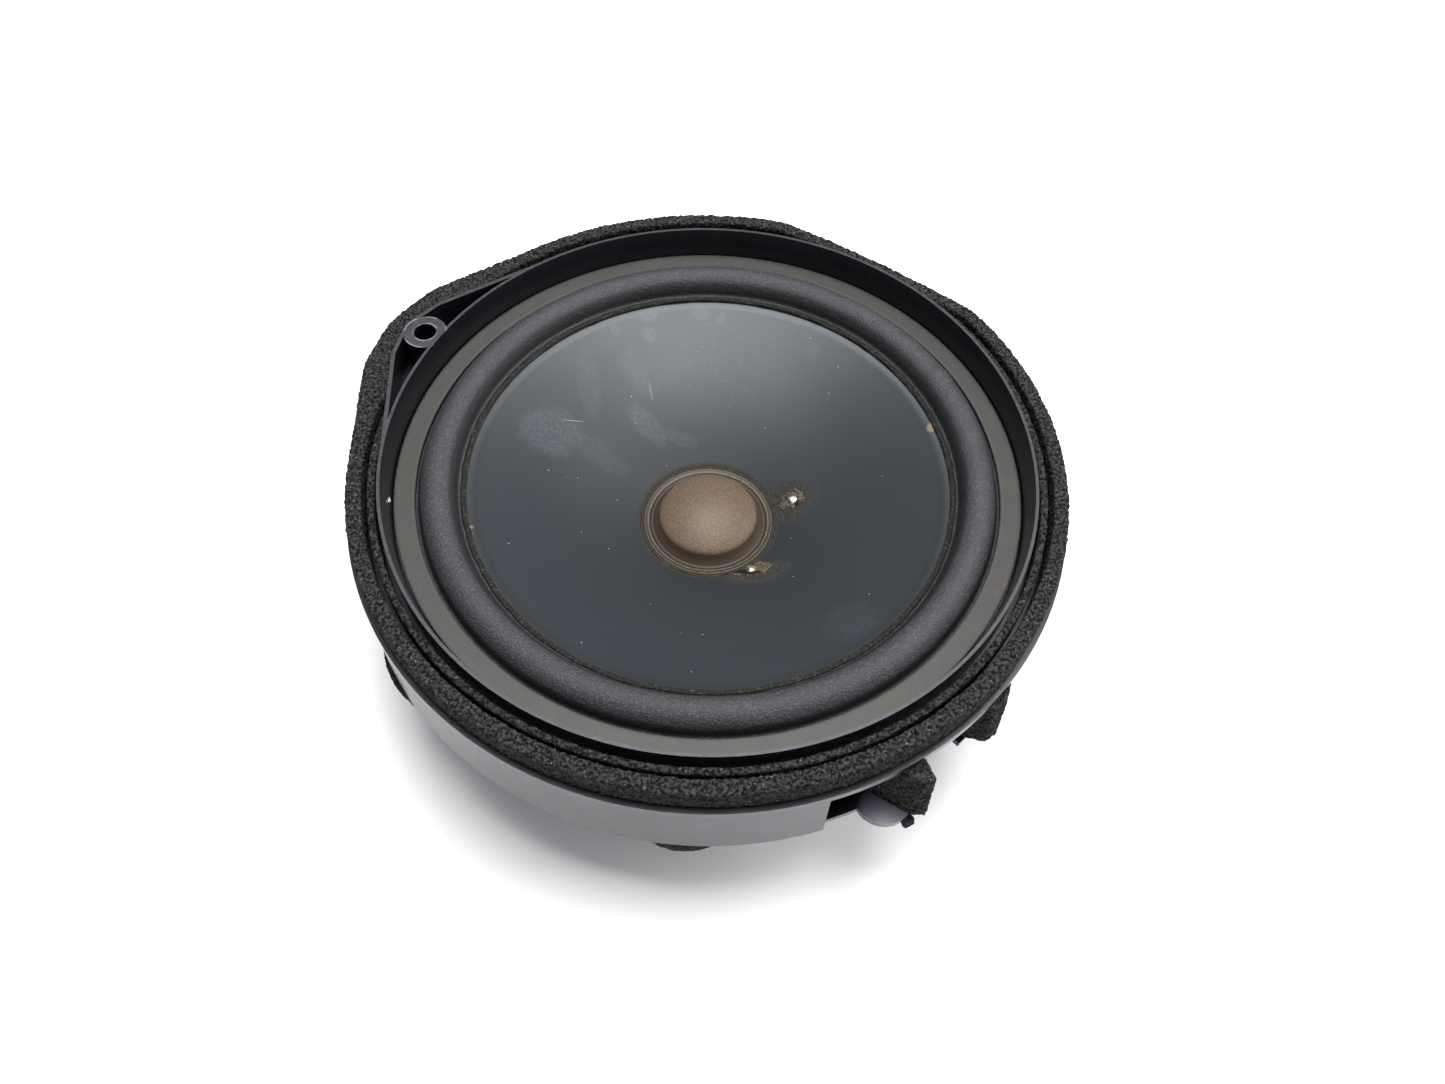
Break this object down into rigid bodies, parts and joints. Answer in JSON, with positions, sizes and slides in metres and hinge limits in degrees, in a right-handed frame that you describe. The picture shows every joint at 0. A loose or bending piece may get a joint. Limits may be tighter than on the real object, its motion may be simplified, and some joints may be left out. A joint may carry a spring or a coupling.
{
  "type": "door loudspeaker",
  "caption": "Round car door loudspeaker: moulded black carrier with collar, screw tab and foam gasket, roll-edged cone with domed dust cap, ring magnet motor.",
  "frame": {"origin": "centre of the motor's flat back face, which the loudspeaker rests on", "axes": "+Z along the cone's axis towards the listener, +X to the right and +Y away for a viewer who has the open sector at the lower right"},
  "size_m": [0.1837, 0.1793, 0.0639],
  "materials": {
    "carrier_plastic": "gloss",
    "ring_board": "matte",
    "surround_rubber": "satin",
    "glue": "matte",
    "lead_glue": "matte",
    "cone_plastic": "satin",
    "cap_cloth": "matte",
    "former_film": "satin",
    "copper_wire": "satin",
    "spider_cloth": "matte",
    "solder": "satin",
    "lead_braid": "satin",
    "socket_plastic": "matte",
    "blade_tin": "satin",
    "plated_steel": "satin",
    "ferrite": "matte",
    "foam": "matte"
  },
  "bodies": {
    "frame_body": {"collar": "carrier_plastic", "screw_tab": "carrier_plastic", "skirt_left": "carrier_plastic", "skirt_right": "carrier_plastic", "basket_floor": "carrier_plastic", "basket_struts": "carrier_plastic", "socket_wall": "carrier_plastic", "carrier_ribs": "carrier_plastic", "tongue_shelves": "carrier_plastic", "clamp_ring": "ring_board", "surround": "surround_rubber", "spider": "spider_cloth", "tinsel_lead_a": "lead_braid", "tinsel_lead_b": "lead_braid", "socket_housing": "socket_plastic", "socket_blades": "blade_tin", "top_plate": "plated_steel", "plate_rivets": "plated_steel", "magnet": "ferrite", "back_plate": "plated_steel", "gasket_outer": "foam", "gasket_inner": "foam", "foam_block_a": "foam", "foam_block_b": "foam", "foam_block_c": "foam", "foam_block_d": "foam", "foam_tongue_pad": "foam", "rear_foam_left": "foam", "rear_foam_right": "foam"},
    "cone_body": {"surround_glue": "glue", "cone": "cone_plastic", "dust_cap": "cap_cloth", "cap_glue": "glue", "coil_former": "former_film", "coil_winding": "copper_wire", "neck_glue": "glue", "lead_eyelets": "solder", "lead_glue": "lead_glue"}
  },
  "joints": [
    {"name": "cone_excursion", "type": "slide", "parent": "frame_body", "child": "cone_body", "axis": [0, 0, 1], "range_m": [-0.004, 0.004], "stiffness_N_per_m": 2000, "deforming": ["surround", "spider", "tinsel_lead_a", "tinsel_lead_b"]}
  ]
}
